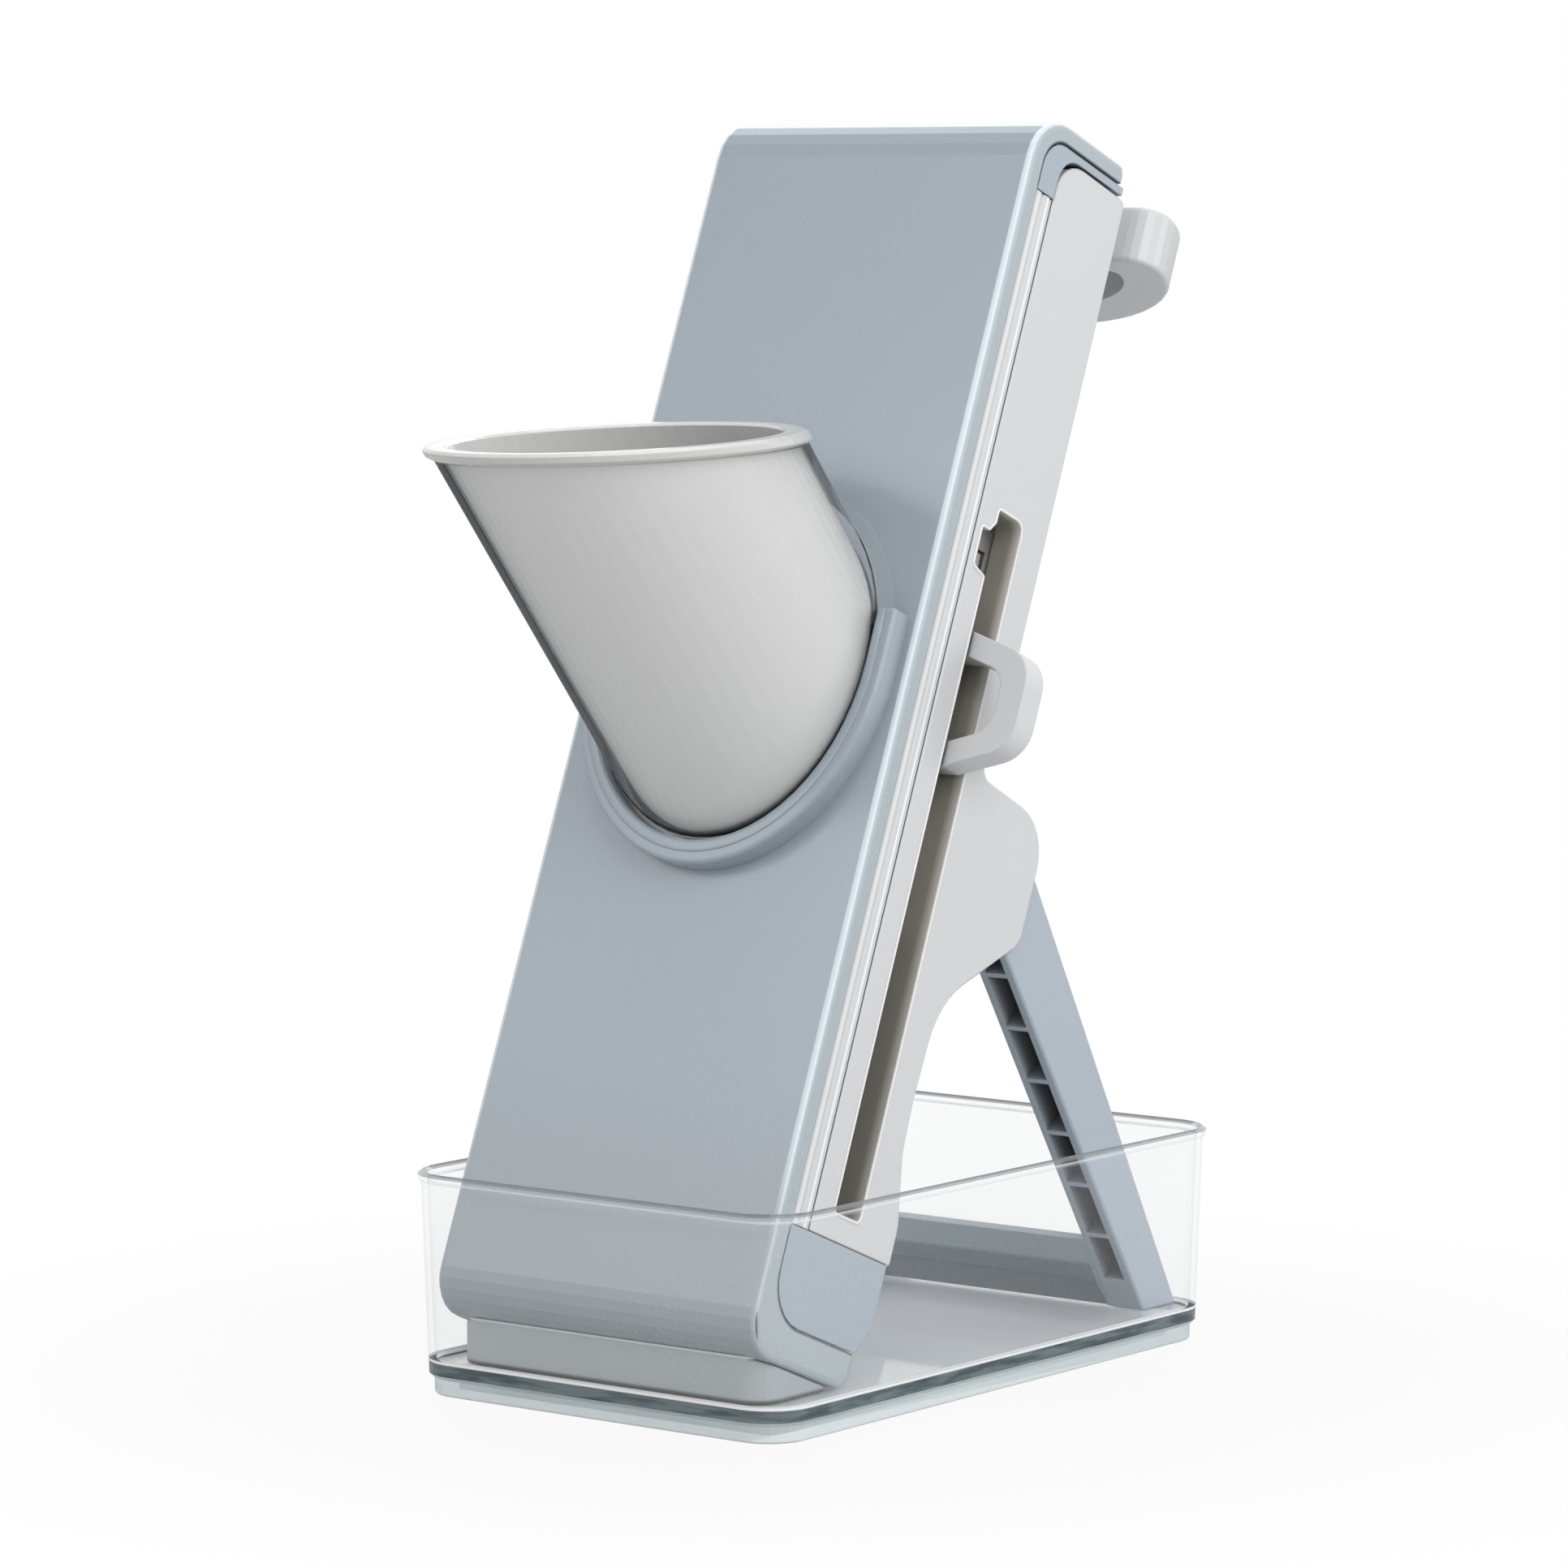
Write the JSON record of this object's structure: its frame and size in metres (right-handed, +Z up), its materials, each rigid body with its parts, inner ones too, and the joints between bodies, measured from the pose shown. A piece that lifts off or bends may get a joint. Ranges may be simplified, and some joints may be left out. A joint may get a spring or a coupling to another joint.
{
  "type": "vegetable slicer",
  "caption": "Upright press slicer: a slanted body with a round feed chute and pusher, a blade carriage pressed from a rear grip, a folding stand and a clear catch tray.",
  "frame": {"origin": "centre of the tray's underside, on the surface it stands on", "axes": "+Z up, -Y the front with the feed chute, +X the side with the comb's ring"},
  "size_m": [0.1475, 0.2881, 0.3594],
  "materials": {
    "shell": "satin gloss blue-grey moulded shell",
    "light": "satin light grey moulding",
    "plate": "smooth white sliding plate",
    "clear": "clear polished plastic",
    "soft": "pale translucent soft plastic",
    "steel": "stainless steel"
  },
  "bodies": {
    "tray": {"tray": "clear", "tray_foot_mat": "soft"},
    "housing": {"front_cover": "shell", "inner_sleeve": "light", "top_cap": "shell", "bottom_cap": "shell", "side_rail_right": "light", "side_rail_left": "light", "side_panel_right": "light", "side_panel_left": "light", "base_foot": "shell", "guide_rod_right": "steel", "guide_rod_left": "steel", "stand_pin_right": "steel", "stand_pin_left": "steel", "return_spring_right": "steel", "return_spring_left": "steel"},
    "stand": {"stand_frame": "shell"},
    "carriage": {"carriage_frame": "light", "lead_plate": "plate", "upper_plate": "plate", "blade": "steel", "blade_bar": "light", "press_arm": "light", "press_grip": "light"},
    "comb": {"comb_cassette": "light", "comb_teeth": "steel"},
    "feed_chute": {"chute": "clear"},
    "food_pusher": {"pusher": "light"}
  },
  "joints": [
    {"name": "lift_out", "type": "slide", "parent": "tray", "child": "housing", "axis": [0, 0, 1], "range_m": [0, 0.12]},
    {"name": "stand_fold", "type": "hinge", "parent": "housing", "child": "stand", "pos_m": [0, 0.01326, 0.14512], "axis": [-1, 0, 0], "range_deg": [0, 53]},
    {"name": "press", "type": "slide", "parent": "housing", "child": "carriage", "axis": [0, -0.3778, -0.9259], "range_m": [0, 0.1153], "stiffness_N_per_m": 160, "springref_m": -0.035, "deforming": ["return_spring_right", "return_spring_left"]},
    {"name": "comb_draw", "type": "slide", "parent": "carriage", "child": "comb", "axis": [1, 0, 0], "range_m": [0, 0.085]},
    {"name": "chute_lift", "type": "slide", "parent": "housing", "child": "feed_chute", "axis": [0, 0.3778, 0.9259], "range_m": [0, 0.076]},
    {"name": "pusher_draw", "type": "slide", "parent": "feed_chute", "child": "food_pusher", "axis": [0, -0.6468, 0.7627], "range_m": [0, 0.09]}
  ],
  "couplings": [
    {"joint": "stand_fold", "follows": "lift_out", "rad_per_m": 7.7}
  ]
}
